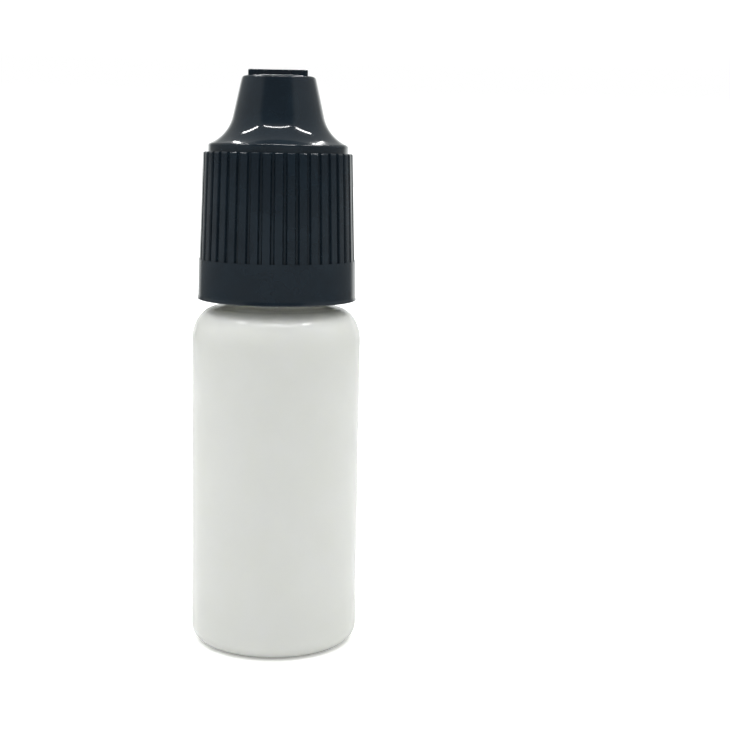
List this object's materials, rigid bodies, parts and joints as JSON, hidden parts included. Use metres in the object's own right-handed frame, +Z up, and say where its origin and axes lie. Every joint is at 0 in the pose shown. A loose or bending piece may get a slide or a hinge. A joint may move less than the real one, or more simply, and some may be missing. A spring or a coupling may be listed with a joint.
{
  "type": "dropper bottle",
  "caption": "Small round squeeze bottle with a drop nozzle in its neck and a ribbed push-and-turn cap. Holds a liquid and lets it out drop by drop.",
  "frame": {"origin": "middle of the foot, on the surface that the bottle stands on", "axes": "+Z up along the bottle's axis, -Y towards the front"},
  "size_m": [0.022, 0.022, 0.075],
  "materials": {
    "bottle": "natural low-density polyethylene, milky and glossy",
    "nozzle": "natural low-density polyethylene, milky and glossy",
    "inner_closure": "natural polypropylene, satin",
    "outer_cap": "dark blue-black polypropylene, glossy"
  },
  "bodies": {
    "bottle_and_nozzle": {"bottle": "bottle", "dropper_plug": "nozzle"},
    "ring": {"tamper_ring": "inner_closure"},
    "inner_closure": {"inner_cap": "inner_closure"},
    "outer_closure": {"outer_cap": "outer_cap"}
  },
  "joints": [
    {"name": "cap_turn", "type": "hinge", "parent": "bottle_and_nozzle", "child": "ring", "pos_m": [0, 0, 0], "axis": [0, 0, 1], "range_deg": [0, 3600]},
    {"name": "cap_rise", "type": "slide", "parent": "ring", "child": "inner_closure", "axis": [0, 0, 1], "range_m": [0, 0.025]},
    {"name": "cap_push", "type": "slide", "parent": "inner_closure", "child": "outer_closure", "axis": [0, 0, 1], "range_m": [-0.0012, 0], "stiffness_N_per_m": 12000}
  ],
  "couplings": [
    {"joint": "cap_rise", "follows": "cap_turn", "m_per_rad": 0.00039789}
  ]
}
